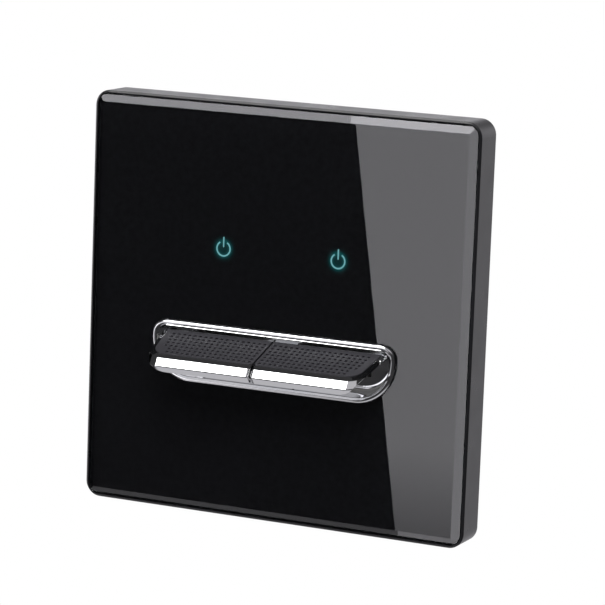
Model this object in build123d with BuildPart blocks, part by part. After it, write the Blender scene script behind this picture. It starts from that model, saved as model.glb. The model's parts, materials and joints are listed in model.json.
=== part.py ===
from build123d import *
import math
import os

os.makedirs("parts", exist_ok=True)

# Two-gang lever switch with a bevelled glass panel, for a wall box with 60.3 mm fixing centres.
# Sizes are in millimetres. X runs to the right, Z up, and the front faces -Y.
# The wall is the plane Y = 0, and the origin is midway between the two fixing holes.
# A height is measured from the wall outwards, so it lies at Y = -height.
# A depth is measured from the wall into the wall box, so it lies at Y = depth.

# Clearances
fit_gap = 0.3
running_gap = 0.05
touch_gap = 0.1

# Frame and glass
panel_size = 86.0
panel_corner = 3.2
frame_height = 7.6
frame_wall = 2.0
frame_floor = 1.5
frame_edge_width = 0.4
frame_edge_drop = 0.28
lip_width = 0.5
notch_width = 8.0
notch_height = 1.2
glass_thickness = 3.0
glass_proud = 1.0
glass_gap = 0.3
glass_corner = 2.0
bevel_width = 1.5
bevel_depth = 1.2
tape_thickness = 0.5
tape_margin = 1.0

glass_size = panel_size - 2 * (lip_width + glass_gap)
glass_front = frame_height + glass_proud
glass_back = glass_front - glass_thickness
floor_front = glass_back - tape_thickness
floor_back = floor_front - frame_floor

# Bezel
bezel_width = 54.9
bezel_height = 12.6
bezel_top_z = -3.05
bezel_proud = 0.9
bezel_top_corner = 3.3
bezel_bottom_corner = 8.9
bezel_bead = 0.75
bezel_lip_inset = 1.25
bezel_groove_drop = 0.3
bezel_lip_drop = 0.05
bezel_bead_round = 0.7
basin_wall_inset = 0.9
basin_wall_gap = 0.18
basin_floor_inset = 1.9
basin_floor = 1.0
basin_round = 1.1
hook_width = 6.0
hook_reach = 0.55
hook_drop = 1.1
hook_x = 16.0

cutout_inset = basin_wall_inset - basin_wall_gap
bezel_low_z = bezel_top_z - bezel_height
bezel_mid_z = bezel_top_z - bezel_height / 2
bezel_face = glass_front + bezel_proud
basin_back = floor_back
basin_front = basin_back + basin_floor

# Keys, in a tilted frame: u runs down the key outwards, w stands off its deck
key_tilt = 19.2
key_start_drop = 1.7
key_start_inset = 2.01
key_gap = 0.44
key_back_u = -0.3
key_length = 13.2
key_side_gap = 1.9
key_taper = 0.125
key_thickness = 3.1
key_crest = 1.4
key_crest_band = 0.25
key_corner = 3.8
key_back_corner = 1.3
key_inner_corner = 0.7
brow_front = 1.3
brow_side = 0.3
brow_drop = 0.3
sole_front = 0.55
sole_side = 0.55
belly_run_in = 4.8
belly_radius = 4.75
rim_height = 0.45

key_start_height = bezel_face - key_start_drop
key_start_z = bezel_top_z - key_start_inset
key_half_span = bezel_width / 2 - key_side_gap
belly_start = key_half_span - belly_run_in

# Pads and their dimples
pad_front_inset = 2.45
pad_side_inset = 1.3
pad_corner = 3.05
pad_land = 0.1
pad_back_u = 0.7
pad_depth = 1.0
pad_proud = 0.12
pad_gap = 0.05
dimple_pitch = 1.245
dimple_size = 0.62
dimple_depth = 0.3
dimple_rows = 7
dimple_columns = 18
dimple_first_x = 1.15
dimple_first_u = 2.35
dimple_border = 2.0

# Rocker arms and rod, which lies on the wall plane
pivot_z = -9.3
key_travel = 10.0
rod_radius = 1.0
hub_radius = 2.4
hub_play = 0.2
arm_inner_x = 4.0
arm_step = 0.8
tongue_end_u = 8.0
tongue_back_u = 1.0
tongue_top = 1.2
tongue_thickness = 1.25
stem_spread = 1.9
stem_root_height = 1.2
web_thickness = 2.0
lug_thickness = 2.2
lug_half_height = 2.9

# Plungers
plunger_drop = 1.1
plunger_radius = 1.4
plunger_lead = 1.3
plunger_reach = 2.8
plunger_back_depth = 6.4
plunger_nose = 0.9
tail_half_width = 2.9
tail_half_height = 2.3
bore_floor_depth = 3.3
spring_wire = 0.35
spring_turns = 4.5
spring_wire_sides = 6
spring_rest_gap = 0.03

# Contact rockers
rocker_width = 5.0
rocker_thickness = 0.8
rocker_tilt = 7.0
rocker_end_round = 1.25
rocker_ear_height = 1.0
rocker_ear_half_width = 1.0
moving_contact_radius = 1.2
moving_contact_height = 0.8
fixed_contact_radius = 1.5
fixed_contact_height = 0.6
contact_arm = 5.0
contact_gap = 0.05

# Terminals
strip_thickness = 0.8
strip_width = 3.7
pillar_width = 7.0
pillar_length = 7.0
pillar_depth = 6.3
wire_bore_radius = 1.6
wire_bore_skin = 1.0
clamp_radius = 1.7
clamp_head_radius = 2.5
clamp_hole_gap = 0.5
clamp_head_height = 1.6
clamp_slot_width = 0.8
clamp_slot_depth = 0.8

# Mounting plate
plate_gap = 0.3
plate_thickness = 2.0
plate_rim_gap = 0.4
plate_rim_width = 1.4
fixing_spacing = 60.3
fixing_radius = 2.2
fixing_length = 8.4
fixing_recess_margin = 2.2
fixing_recess_depth = 0.8
claw_x = 24.0
claw_width = 8.0
claw_thickness = 1.2
claw_hook = 0.7
claw_hook_length = 1.0

# Mechanism housing
housing_width = 49.6
housing_height = 45.6
housing_wall = 1.6
housing_corner = 1.5
housing_gap = 0.2
housing_depth = 25.0
housing_back_wall = 2.0
cover_depth = 1.5
flange_lap_x = 0.6
flange_lap_z = 5.2
window_side_gap = 1.6
window_margin = 0.8
wire_hole_radius = 2.1
boss_radius = 2.4
boss_inset = 2.3
boss_screw_radius = 1.25
boss_screw_length = 9.5
boss_screw_depth = 9.0
boss_head_radius = 1.9
boss_head_height = 1.6
cross_length = 2.2
cross_width = 0.6
cross_depth = 0.9
plate_screw_inset_x = 5.4
plate_screw_inset_z = 2.4
plate_screw_radius = 1.0
plate_screw_head_radius = 1.9
plate_screw_head_height = 1.0
plate_screw_end = 0.2

flange_front = floor_back - fit_gap
flange_thickness = flange_front - plate_thickness
flange_width = housing_width + 2 * flange_lap_x
flange_height = housing_height + 2 * flange_lap_z
plate_screw_x = flange_width / 2 - plate_screw_inset_x
plate_screw_z = flange_height / 2 - plate_screw_inset_z
bay_inner_x = web_thickness / 2
bay_outer_x = housing_width / 2 - housing_wall
bay_top_z = housing_height / 2 - housing_wall
bay_back_depth = housing_depth - housing_back_wall
boss_z = bay_top_z - boss_inset
gang_x = (bay_inner_x + bay_outer_x) / 2
pillar_offset = (bay_outer_x - bay_inner_x) / 4
hub_inner_x = bay_inner_x + hub_play
hub_outer_x = bay_outer_x - lug_thickness - hub_play
arm_outer_x = hub_outer_x - arm_step
window_half_width = arm_outer_x + window_side_gap
window_top_z = bezel_top_z + window_margin
window_low_z = bezel_low_z - window_margin

# Depths from the back wall forward: pillar, strip, fixed contact, closed tip, seesaw and plunger
tilt_turn = math.radians(rocker_tilt)
rocker_half_length = contact_arm + moving_contact_radius
pillar_back = bay_back_depth - housing_gap
pillar_front = pillar_back - pillar_depth
bore_depth = pillar_front + wire_bore_skin + wire_bore_radius
strip_back = pillar_front
strip_face = strip_back - strip_thickness
fixed_face = strip_face - fixed_contact_height
rocker_depth = (
    fixed_face
    - contact_gap
    - (moving_contact_height - touch_gap) * math.cos(tilt_turn)
    - rocker_half_length * math.sin(tilt_turn)
)
plunger_tip_depth = rocker_depth - plunger_lead
tail_depth = plunger_tip_depth - plunger_reach

# Signs and their lamps
sign_x = 12.87
sign_z = 12.6
diffuser_radius = 3.5
diffuser_thickness = 0.3
guide_head_radius = 3.0
guide_radius = 1.8
guide_gap = 0.15
guide_to_lamp = 0.2
lamp_radius = 1.5
lamp_collar_radius = 1.8
lamp_collar_height = 0.8
lamp_front = 1.0
lamp_chamfer = 0.8
board_depth = 2.8
board_thickness = 1.2
board_side_gap = 2.2
board_top_gap = 0.7
board_bottom_z = 1.5
post_inset = 1.95
post_radius = 1.5
pin_radius = 0.7
pin_length = 1.8
resistor_radius = 1.1
resistor_length = 5.6
resistor_lead_width = 0.5
resistor_lead = 1.0
resistor_x = 5.0
resistor_low_z = 4.6
resistor_high_z = 8.2

board_half_width = bay_outer_x - board_side_gap
board_top_z = boss_z - boss_radius - board_top_gap
post_x = board_half_width - post_inset
post_low_z = board_bottom_z + post_inset
post_high_z = board_top_z - post_inset

# Tilted frame of the keys
sin_tilt = math.sin(math.radians(key_tilt))
cos_tilt = math.cos(math.radians(key_tilt))
down_key = Vector(0, -cos_tilt, -sin_tilt)
off_deck = Vector(0, -sin_tilt, cos_tilt)
key_origin = Vector(0, -key_start_height, key_start_z)


def deck_plane(w):
    """Plane parallel to the deck. Its x is X and its y points up the key, so u is -y."""
    return Plane(origin=key_origin + off_deck * w, x_dir=(1, 0, 0), z_dir=off_deck)


def side_point(u, w):
    """Point of the key's side profile as (Y, Z)."""
    point = key_origin + down_key * u + off_deck * w
    return (point.Y, point.Z)


def save(part, name):
    part.label = name
    export_step(part, f"parts/{name}.step")


def save_pair(right_part, name):
    """Writes the right-hand piece and its mirror image on the left."""
    save(right_part, f"right_{name}")
    save(mirror(right_part, about=Plane.YZ), f"left_{name}")


def bezel_outline(inset):
    """Bezel outline drawn in by inset, centred on the bezel's middle."""
    with BuildSketch(mode=Mode.PRIVATE) as outline:
        with Locations((0, bezel_mid_z)):
            Rectangle(bezel_width - 2 * inset, bezel_height - 2 * inset)
        corners = outline.vertices().sort_by(Axis.Y)
        fillet(corners[:2], bezel_bottom_corner - inset)
        corners = outline.vertices().sort_by(Axis.Y)
        fillet(corners[-2:], bezel_top_corner - inset)
    return outline.sketch


# Glass panel: the bevels are four planes that meet in sharp mitres inside rounded corners
with BuildPart() as glass_panel:
    with BuildSketch(Plane.XZ.offset(glass_back)):
        Rectangle(glass_size, glass_size)
    extrude(amount=glass_thickness - bevel_depth)
    with BuildSketch(Plane.XZ.offset(glass_front - bevel_depth)):
        Rectangle(glass_size, glass_size)
    with BuildSketch(Plane.XZ.offset(glass_front)):
        Rectangle(glass_size - 2 * bevel_width, glass_size - 2 * bevel_width)
    loft(ruled=True)
    with BuildSketch(Plane.XZ.offset(glass_back)):
        RectangleRounded(glass_size, glass_size, glass_corner)
    extrude(amount=glass_thickness, mode=Mode.INTERSECT)
    with BuildSketch(Plane.XZ.offset(glass_back)):
        add(bezel_outline(cutout_inset))
    extrude(amount=glass_thickness, mode=Mode.SUBTRACT)
save(glass_panel.part, "glass_panel")


# Foam tape behind the glass, open round the bezel and the lit signs
with BuildPart() as glass_tape:
    with BuildSketch(Plane.XZ.offset(floor_front)):
        RectangleRounded(glass_size - 2 * tape_margin, glass_size - 2 * tape_margin, tape_margin)
        with Locations((sign_x, sign_z), (-sign_x, sign_z)):
            Circle(diffuser_radius + fit_gap, mode=Mode.SUBTRACT)
        with Locations((0, bezel_mid_z)):
            RectangleRounded(
                bezel_width + 2 * tape_margin,
                bezel_height + 2 * tape_margin,
                bezel_top_corner,
                mode=Mode.SUBTRACT,
            )
    extrude(amount=tape_thickness)
save(glass_tape.part, "glass_tape")


# Panel frame: rounded surround, pocket for the glass, floor and four snap claws
frame_inner = panel_size - 2 * frame_wall
claw_hook_high = plate_thickness - touch_gap
claw_hook_low = claw_hook_high - claw_hook_length
claw_outer_z = frame_inner / 2 - plate_gap - plate_rim_width - touch_gap
with BuildPart() as panel_frame:
    with BuildSketch(Plane.XZ):
        RectangleRounded(panel_size, panel_size, panel_corner)
    extrude(amount=frame_height)
    front_face = panel_frame.faces().sort_by(Axis.Y)[0]
    chamfer(front_face.edges(), frame_edge_width, frame_edge_drop, reference=front_face)
    with BuildSketch(Plane.XZ.offset(floor_front)):
        RectangleRounded(
            panel_size - 2 * lip_width, panel_size - 2 * lip_width, panel_corner - lip_width - touch_gap
        )
    extrude(amount=frame_height - floor_front, mode=Mode.SUBTRACT)
    with BuildSketch(Plane.XZ):
        RectangleRounded(frame_inner, frame_inner, panel_corner - frame_wall)
    extrude(amount=floor_back, mode=Mode.SUBTRACT)
    with BuildSketch(Plane.XZ.offset(floor_back)):
        add(bezel_outline(cutout_inset))
    extrude(amount=frame_floor, mode=Mode.SUBTRACT)
    with BuildSketch(Plane.XZ.offset(floor_back)):
        with Locations((sign_x, sign_z), (-sign_x, sign_z)):
            Circle(guide_head_radius + guide_gap)
    extrude(amount=frame_floor, mode=Mode.SUBTRACT)
    for x in (-claw_x, claw_x):
        for side in (-1, 1):
            with BuildSketch(Plane.YZ.offset(x - claw_width / 2)):
                with BuildLine():
                    Polyline(
                        (-floor_back, side * (claw_outer_z - claw_thickness)),
                        (-claw_hook_low, side * (claw_outer_z - claw_thickness)),
                        (-claw_hook_low, side * claw_outer_z),
                        (-claw_hook_high, side * (claw_outer_z + claw_hook)),
                        (-claw_hook_high, side * claw_outer_z),
                        (-floor_back, side * claw_outer_z),
                        close=True,
                    )
                make_face()
            extrude(amount=claw_width)
    # Notch in the bottom wall where the panel is pried off the plate
    with BuildSketch(Plane.XZ):
        with Locations((0, -(panel_size - frame_wall) / 2)):
            Rectangle(notch_width, frame_wall)
    extrude(amount=notch_height, mode=Mode.SUBTRACT)
save(panel_frame.part, "panel_frame")


# Stem slots in the bezel: the arm's upper and lower faces swing about the rod
def swung(height, z, angle):
    """A point of the arm after the key has tipped by angle, as (height, z)."""
    turn = math.radians(angle)
    rise = z - pivot_z
    return (
        height * math.cos(turn) + rise * math.sin(turn),
        pivot_z - height * math.sin(turn) + rise * math.cos(turn),
    )


tongue_top_point = side_point(tongue_back_u - tongue_thickness / 2, -tongue_top)
tongue_low_point = side_point(tongue_back_u, -tongue_top - tongue_thickness)
stem_root_y = -stem_root_height
stem_top_slope = (tongue_top_point[1] - pivot_z - stem_spread) / (tongue_top_point[0] - stem_root_y)
stem_low_slope = (tongue_low_point[1] - pivot_z + stem_spread) / (tongue_low_point[0] - stem_root_y)


def stem_top_z(height):
    return pivot_z + stem_spread + stem_top_slope * (-height - stem_root_y)


def stem_low_z(height):
    return pivot_z - stem_spread + stem_low_slope * (-height - stem_root_y)


slot_top_z = max(stem_top_z(basin_front), stem_top_z(basin_back)) + fit_gap
slot_low_z = min(
    swung(basin_front, stem_low_z(basin_front), key_travel)[1],
    swung(basin_back, stem_low_z(basin_back), key_travel)[1],
) - fit_gap

# Key bezel: beaded flange on the glass, dished basin through it, and hooks behind the frame
with BuildPart() as key_bezel:
    with BuildSketch(Plane.XZ.offset(glass_front)):
        add(bezel_outline(0))
    extrude(amount=bezel_proud)
    flange_edges = key_bezel.faces().sort_by(Axis.Y)[0].edges()
    fillet(flange_edges, bezel_bead_round)
    # Groove inside the bead, whose inner side rises to the basin's lip
    with BuildSketch(Plane.XZ.offset(bezel_face - bezel_groove_drop)):
        add(bezel_outline(bezel_bead))
    extrude(amount=bezel_proud, mode=Mode.SUBTRACT)
    with BuildSketch(Plane.XZ.offset(bezel_face - bezel_groove_drop)):
        add(bezel_outline(bezel_bead + touch_gap))
    with BuildSketch(Plane.XZ.offset(bezel_face - bezel_lip_drop)):
        add(bezel_outline(bezel_lip_inset - touch_gap))
    loft(ruled=True)
    with BuildSketch(Plane.XZ.offset(basin_back)):
        add(bezel_outline(basin_wall_inset))
    extrude(amount=glass_front - basin_back)
    with BuildSketch(Plane.XZ.offset(basin_front)):
        add(bezel_outline(basin_floor_inset))
    with BuildSketch(Plane.XZ.offset(bezel_face)):
        add(bezel_outline(bezel_lip_inset))
    loft(ruled=True, mode=Mode.SUBTRACT)
    floor_edges = key_bezel.edges().filter_by_position(
        Axis.Y, -basin_front - running_gap, -basin_front + running_gap
    )
    fillet(floor_edges, basin_round)
    with BuildSketch(Plane.XZ.offset(basin_back)):
        slot_mid_x = (arm_inner_x + arm_outer_x) / 2
        with Locations(
            (slot_mid_x, (slot_top_z + slot_low_z) / 2), (-slot_mid_x, (slot_top_z + slot_low_z) / 2)
        ):
            RectangleRounded(
                arm_outer_x - arm_inner_x + 2 * fit_gap, slot_top_z - slot_low_z, fit_gap
            )
    extrude(amount=basin_floor, mode=Mode.SUBTRACT)
    for x in (-hook_x, hook_x):
        for side in (-1, 1):
            wall_z = bezel_mid_z + side * (bezel_height / 2 - basin_wall_inset)
            with BuildSketch(Plane.YZ.offset(x - hook_width / 2)):
                with BuildLine():
                    Polyline(
                        (-basin_front, wall_z - side * basin_floor),
                        (-basin_back, wall_z),
                        (-basin_back, wall_z + side * hook_reach),
                        (-basin_back + hook_drop, wall_z - side * basin_floor),
                        close=True,
                    )
                make_face()
            extrude(amount=hook_width)
save(key_bezel.part, "key_bezel")


def key_outline(front_inset, side_inset, corner):
    """Plan of the right key in (x, -u), drawn in at the front and at the outer side."""
    front_u = key_length - front_inset
    back_x = key_half_span - side_inset
    front_x = back_x - key_taper * (front_u - key_back_u)
    with BuildSketch(mode=Mode.PRIVATE) as plan:
        with BuildLine():
            Polyline(
                (key_gap / 2, -key_back_u),
                (back_x, -key_back_u),
                (front_x, -front_u),
                (key_gap / 2, -front_u),
                close=True,
            )
        make_face()
        ends = plan.vertices().sort_by(Axis.Y)
        front_outer = ends[:2].sort_by(Axis.X)[-1]
        fillet(front_outer, corner)
        ends = plan.vertices().sort_by(Axis.Y)
        back_outer = ends[-2:].sort_by(Axis.X)[-1]
        fillet(back_outer, key_back_corner)
        inner = plan.vertices().sort_by(Axis.X)[:2].sort_by(Axis.Y)[0]
        fillet(inner, key_inner_corner)
    return plan.sketch


def pad_outline(gap):
    """Plan of the right pad in (x, -u), open at the inner side and drawn in by gap elsewhere."""
    inner_x = key_gap / 2
    back_u = pad_back_u + gap
    with BuildSketch(mode=Mode.PRIVATE) as plan:
        add(
            key_outline(
                pad_front_inset + gap,
                pad_side_inset + gap,
                pad_corner - gap,
            )
        )
        with Locations(((inner_x + key_half_span) / 2, -(back_u + key_length) / 2)):
            Rectangle(key_half_span - inner_x, key_length - back_u, mode=Mode.INTERSECT)
    return plan.sketch


# Key shell: faceted nose that wraps round the corner, over a belly that rises to the rim
crest_plan = key_outline(0, 0, key_corner)
brow_plan = key_outline(brow_front, brow_side, key_corner - brow_side)
deck_plan = key_outline(
    pad_front_inset - pad_land, pad_side_inset - pad_land, pad_corner + pad_land
)
sole_plan = key_outline(sole_front, sole_side, key_corner - sole_side)
belly_end = belly_start + math.sqrt(
    belly_radius**2 - (belly_radius - key_thickness + rim_height) ** 2
)
arm_half_width = (arm_outer_x - arm_inner_x) / 2
arm_mid_x = (arm_outer_x + arm_inner_x) / 2
with BuildPart() as right_key_shell:
    with BuildSketch(deck_plane(-brow_drop)):
        add(brow_plan)
    with BuildSketch(deck_plane(0)):
        add(deck_plan)
    loft(ruled=True)
    with BuildSketch(deck_plane(-key_crest)):
        add(crest_plan)
    with BuildSketch(deck_plane(-brow_drop)):
        add(brow_plan)
    loft(ruled=True)
    with BuildSketch(deck_plane(-key_crest)):
        add(crest_plan)
    extrude(amount=-key_crest_band)
    with BuildSketch(deck_plane(-key_thickness)):
        add(sole_plan)
    with BuildSketch(deck_plane(-key_crest - key_crest_band)):
        add(crest_plan)
    loft(ruled=True)
    belly_plane = Plane(
        origin=key_origin + down_key * (2 * key_back_u), x_dir=(1, 0, 0), z_dir=down_key
    )
    with BuildSketch(belly_plane):
        with BuildLine():
            belly_arc = RadiusArc(
                (belly_start, -key_thickness), (belly_end, -rim_height), -belly_radius
            )
            Polyline(
                belly_arc @ 1,
                (key_half_span + key_thickness, -rim_height),
                (key_half_span + key_thickness, -2 * key_thickness),
                (belly_start, -2 * key_thickness),
                belly_arc @ 0,
            )
        make_face()
    belly_run = down_key - Vector(key_taper, 0, 0)
    extrude(amount=key_length + key_thickness, dir=belly_run, mode=Mode.SUBTRACT)
    # Recess for the pad
    with BuildSketch(deck_plane(-pad_depth)):
        add(pad_outline(0))
    extrude(amount=pad_depth, mode=Mode.SUBTRACT)
    # Socket for the arm's tongue, open at the back and below for the stem
    with BuildSketch(deck_plane(-tongue_top)):
        with Locations((arm_mid_x, -(tongue_end_u + 2 * key_back_u) / 2)):
            Rectangle(2 * arm_half_width, tongue_end_u - 2 * key_back_u)
    extrude(amount=-tongue_thickness, mode=Mode.SUBTRACT)
    with BuildSketch(deck_plane(-tongue_top)):
        with Locations((arm_mid_x, -(tongue_back_u + fit_gap + 2 * key_back_u) / 2)):
            Rectangle(2 * arm_half_width, tongue_back_u + fit_gap - 2 * key_back_u)
    extrude(amount=-key_thickness, mode=Mode.SUBTRACT)
save_pair(right_key_shell.part, "key_shell")


# Key pad: soft insert with rows of square dimples
dimple_spots = []
corner_u = key_length - pad_front_inset - pad_corner
for row in range(dimple_rows):
    u = dimple_first_u + row * dimple_pitch
    last_x = key_half_span - pad_side_inset - key_taper * (u - key_back_u) - dimple_border
    room_x = last_x
    if u > corner_u:
        room_x = last_x - pad_corner + math.sqrt(max(pad_corner**2 - (u - corner_u) ** 2, 0))
    for column in range(dimple_columns):
        x = dimple_first_x + (last_x - dimple_first_x) * column / (dimple_columns - 1)
        if x < room_x + running_gap:
            dimple_spots.append((x, -u))

with BuildPart() as right_key_pad:
    with BuildSketch(deck_plane(-pad_depth)):
        add(pad_outline(pad_gap))
    extrude(amount=pad_depth + pad_proud)
    with BuildSketch(deck_plane(pad_proud)):
        with Locations(*dimple_spots):
            Rectangle(dimple_size, dimple_size)
    extrude(amount=-dimple_depth, mode=Mode.SUBTRACT)
save_pair(right_key_pad.part, "key_pad")


# Rocker arm: tongue in the key, stem through the bezel, hub on the rod, and plunger tail
plunger_z = pivot_z - plunger_drop
bore_radius = plunger_radius + running_gap
with BuildPart() as right_rocker_arm:
    with BuildSketch(Plane.YZ.offset(arm_inner_x)):
        with BuildLine():
            Polyline(
                side_point(tongue_end_u, -tongue_top),
                side_point(tongue_end_u, -tongue_top - tongue_thickness),
                tongue_low_point,
                (stem_root_y, pivot_z - stem_spread),
                (stem_root_y, pivot_z + stem_spread),
                tongue_top_point,
                close=True,
            )
        make_face()
    extrude(amount=arm_outer_x - arm_inner_x)
    with BuildSketch(Plane.YZ.offset(hub_inner_x)):
        with Locations((0, pivot_z)):
            Circle(hub_radius)
    extrude(amount=hub_outer_x - hub_inner_x)
    with BuildSketch(Plane.YZ.offset(gang_x - tail_half_width)):
        with Locations((tail_depth / 2, plunger_z)):
            Rectangle(tail_depth, 2 * tail_half_height)
    extrude(amount=2 * tail_half_width)
    with BuildSketch(Plane.YZ.offset(hub_inner_x)):
        with Locations((0, pivot_z)):
            Circle(rod_radius + running_gap)
    extrude(amount=hub_outer_x - hub_inner_x, mode=Mode.SUBTRACT)
    with BuildSketch(Plane.XZ.offset(-tail_depth)):
        with Locations((gang_x, plunger_z)):
            Circle(bore_radius)
    extrude(amount=tail_depth - bore_floor_depth, mode=Mode.SUBTRACT)
save_pair(right_rocker_arm.part, "rocker_arm")


# Pivot rod through both arms
with BuildPart() as pivot_rod:
    with BuildSketch(Plane.YZ):
        with Locations((0, pivot_z)):
            Circle(rod_radius)
    extrude(amount=bay_outer_x, both=True)
save(pivot_rod.part, "pivot_rod")


# Plunger: pin with a tapered nose that slides in the arm's tail
with BuildPart() as right_plunger:
    with BuildSketch(Plane.XZ.offset(-plunger_tip_depth)):
        with Locations((gang_x, plunger_z)):
            Circle(plunger_radius)
    extrude(amount=plunger_tip_depth - plunger_back_depth)
    chamfer(right_plunger.faces().sort_by(Axis.Y)[-1].edges(), plunger_nose)
save_pair(right_plunger.part, "plunger")


# Plunger spring between the bore's floor and the plunger
spring_room = plunger_back_depth - bore_floor_depth - 2 * spring_rest_gap
spring_radius = plunger_radius - spring_wire
with BuildPart() as right_plunger_spring:
    with BuildLine() as spring_path:
        Helix(
            pitch=(spring_room - spring_wire) / spring_turns,
            height=spring_room - spring_wire,
            radius=spring_radius,
            center=(gang_x, bore_floor_depth + spring_rest_gap + spring_wire / 2, plunger_z),
            direction=(0, 1, 0),
        )
    spring_wire_line = spring_path.wires()[0]
    with BuildSketch(Plane(origin=spring_wire_line @ 0, z_dir=spring_wire_line % 0)):
        RegularPolygon(spring_wire / 2, spring_wire_sides)
    sweep(path=spring_wire_line, is_frenet=True)
save_pair(right_plunger_spring.part, "plunger_spring")


def rocker_plane(x):
    """Side plane of the contact seesaw at its rest tilt, with its origin on the pivot line."""
    return Plane(
        origin=(x, rocker_depth, pivot_z),
        x_dir=(0, math.cos(tilt_turn), math.sin(tilt_turn)),
        z_dir=(1, 0, 0),
    )


# Contact rocker: brass seesaw that rocks on the ridge of the common terminal
with BuildPart() as right_contact_rocker:
    with BuildSketch(rocker_plane(gang_x - rocker_width / 2)):
        with Locations((-touch_gap - rocker_thickness / 2, 0)):
            Rectangle(rocker_thickness, 2 * rocker_half_length)
    extrude(amount=rocker_width)
    ends = right_contact_rocker.edges().filter_by(Axis((0, 0, 0), rocker_plane(0).x_dir))
    fillet(ends, rocker_end_round)
save_pair(right_contact_rocker.part, "contact_rocker")


# Moving contacts: two domed silver tips behind the seesaw's ends
with BuildPart() as right_moving_contacts:
    for side in (-1, 1):
        toward = Vector(0, math.cos(tilt_turn), math.sin(tilt_turn))
        along = Vector(0, -math.sin(tilt_turn), math.cos(tilt_turn))
        seat = Vector(gang_x, rocker_depth, pivot_z) + along * side * contact_arm - toward * touch_gap
        with BuildSketch(Plane(origin=seat, x_dir=(1, 0, 0), z_dir=toward)):
            Circle(moving_contact_radius)
        extrude(amount=moving_contact_height)
save_pair(right_moving_contacts.part, "moving_contacts")


contact_z = contact_arm * math.cos(tilt_turn) - moving_contact_height / 2 * math.sin(tilt_turn)
foot_half_z = fixed_contact_radius + 2 * touch_gap

# Fixed contacts: silver tips on the upper and lower terminals of both gangs
with BuildPart() as fixed_contacts:
    with BuildSketch(Plane.XZ.offset(-strip_face)):
        for x in (-gang_x, gang_x):
            with Locations((x, pivot_z + contact_z), (x, pivot_z - contact_z)):
                Circle(fixed_contact_radius)
    extrude(amount=fixed_contact_height)
save(fixed_contacts.part, "fixed_contacts")


def clamp_holes(x, z):
    """Cuts the wire bore along Z and the clamp screw hole along Y of one pillar."""
    with BuildSketch(Plane.XY.offset(z - pillar_length / 2)) as wire_bore:
        with Locations((x, bore_depth)):
            Circle(wire_bore_radius)
    extrude(wire_bore.sketch, amount=pillar_length, mode=Mode.SUBTRACT)
    with BuildSketch(Plane.XZ.offset(-pillar_back)) as screw_hole:
        with Locations((x, z)):
            Circle(clamp_radius)
    extrude(screw_hole.sketch, amount=pillar_back - bore_depth, mode=Mode.SUBTRACT)


top_pillar_z = bay_top_z - pillar_length / 2
low_pillar_z = -top_pillar_z

# Upper terminal: foot behind the upper contact, strip up to its pillar
with BuildPart() as right_upper_terminal:
    with BuildSketch(Plane.XZ.offset(-strip_back)):
        with Locations((gang_x - pillar_offset, (pivot_z + contact_z + top_pillar_z) / 2)):
            Rectangle(strip_width, top_pillar_z - pivot_z - contact_z)
        with Locations((gang_x - pillar_offset / 2, pivot_z + contact_z)):
            Rectangle(pillar_offset + 2 * fixed_contact_radius, 2 * foot_half_z)
    extrude(amount=strip_thickness)
    with BuildSketch(Plane.XZ.offset(-pillar_back)):
        with Locations((gang_x - pillar_offset, top_pillar_z)):
            Rectangle(pillar_width, pillar_length)
    extrude(amount=pillar_depth)
    clamp_holes(gang_x - pillar_offset, top_pillar_z)
save_pair(right_upper_terminal.part, "upper_terminal")

# Common terminal: ridge that the seesaw rocks on between two ears, strip up to its pillar
ridge_back = strip_face
ear_inner_x = rocker_width / 2 + touch_gap
ear_outer_x = ear_inner_x + strip_thickness
with BuildPart() as right_common_terminal:
    with BuildSketch(Plane.XZ.offset(-strip_back)):
        with Locations((gang_x + pillar_offset + touch_gap, (pivot_z + top_pillar_z) / 2)):
            Rectangle(strip_width, top_pillar_z - pivot_z + 2 * fixed_contact_radius)
        with Locations((gang_x + (pillar_offset + rocker_width / 2 - ear_outer_x) / 2, pivot_z)):
            Rectangle(pillar_offset + rocker_width / 2 + ear_outer_x, 2 * fixed_contact_radius)
    extrude(amount=strip_thickness)
    with BuildSketch(Plane.XZ.offset(-ridge_back)):
        for side in (-1, 1):
            with Locations((gang_x + side * (ear_inner_x + ear_outer_x) / 2, pivot_z)):
                Rectangle(strip_thickness, 2 * rocker_ear_half_width)
    extrude(amount=ridge_back - rocker_depth + rocker_ear_height)
    with BuildSketch(Plane.YZ.offset(gang_x - rocker_width / 2)):
        with BuildLine():
            Polyline(
                (rocker_depth + touch_gap / 2, pivot_z),
                (ridge_back, pivot_z + fixed_contact_radius / 2),
                (ridge_back, pivot_z - fixed_contact_radius / 2),
                close=True,
            )
        make_face()
    extrude(amount=rocker_width)
    with BuildSketch(Plane.XZ.offset(-pillar_back)):
        with Locations((gang_x + pillar_offset, top_pillar_z)):
            Rectangle(pillar_width, pillar_length)
    extrude(amount=pillar_depth)
    clamp_holes(gang_x + pillar_offset, top_pillar_z)
save_pair(right_common_terminal.part, "common_terminal")

# Lower terminal: foot behind the lower contact on its pillar
with BuildPart() as right_lower_terminal:
    with BuildSketch(Plane.XZ.offset(-strip_back)):
        with Locations((gang_x, (pivot_z - contact_z + foot_half_z + low_pillar_z) / 2)):
            Rectangle(pillar_width, pivot_z - contact_z + foot_half_z - low_pillar_z)
    extrude(amount=strip_thickness)
    with BuildSketch(Plane.XZ.offset(-pillar_back)):
        with Locations((gang_x, low_pillar_z)):
            Rectangle(pillar_width, pillar_length)
    extrude(amount=pillar_depth)
    clamp_holes(gang_x, low_pillar_z)
save_pair(right_lower_terminal.part, "lower_terminal")

pillar_spots = []
for side in (-1, 1):
    pillar_spots.append((side * (gang_x - pillar_offset), top_pillar_z))
    pillar_spots.append((side * (gang_x + pillar_offset), top_pillar_z))
    pillar_spots.append((side * gang_x, low_pillar_z))

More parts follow.
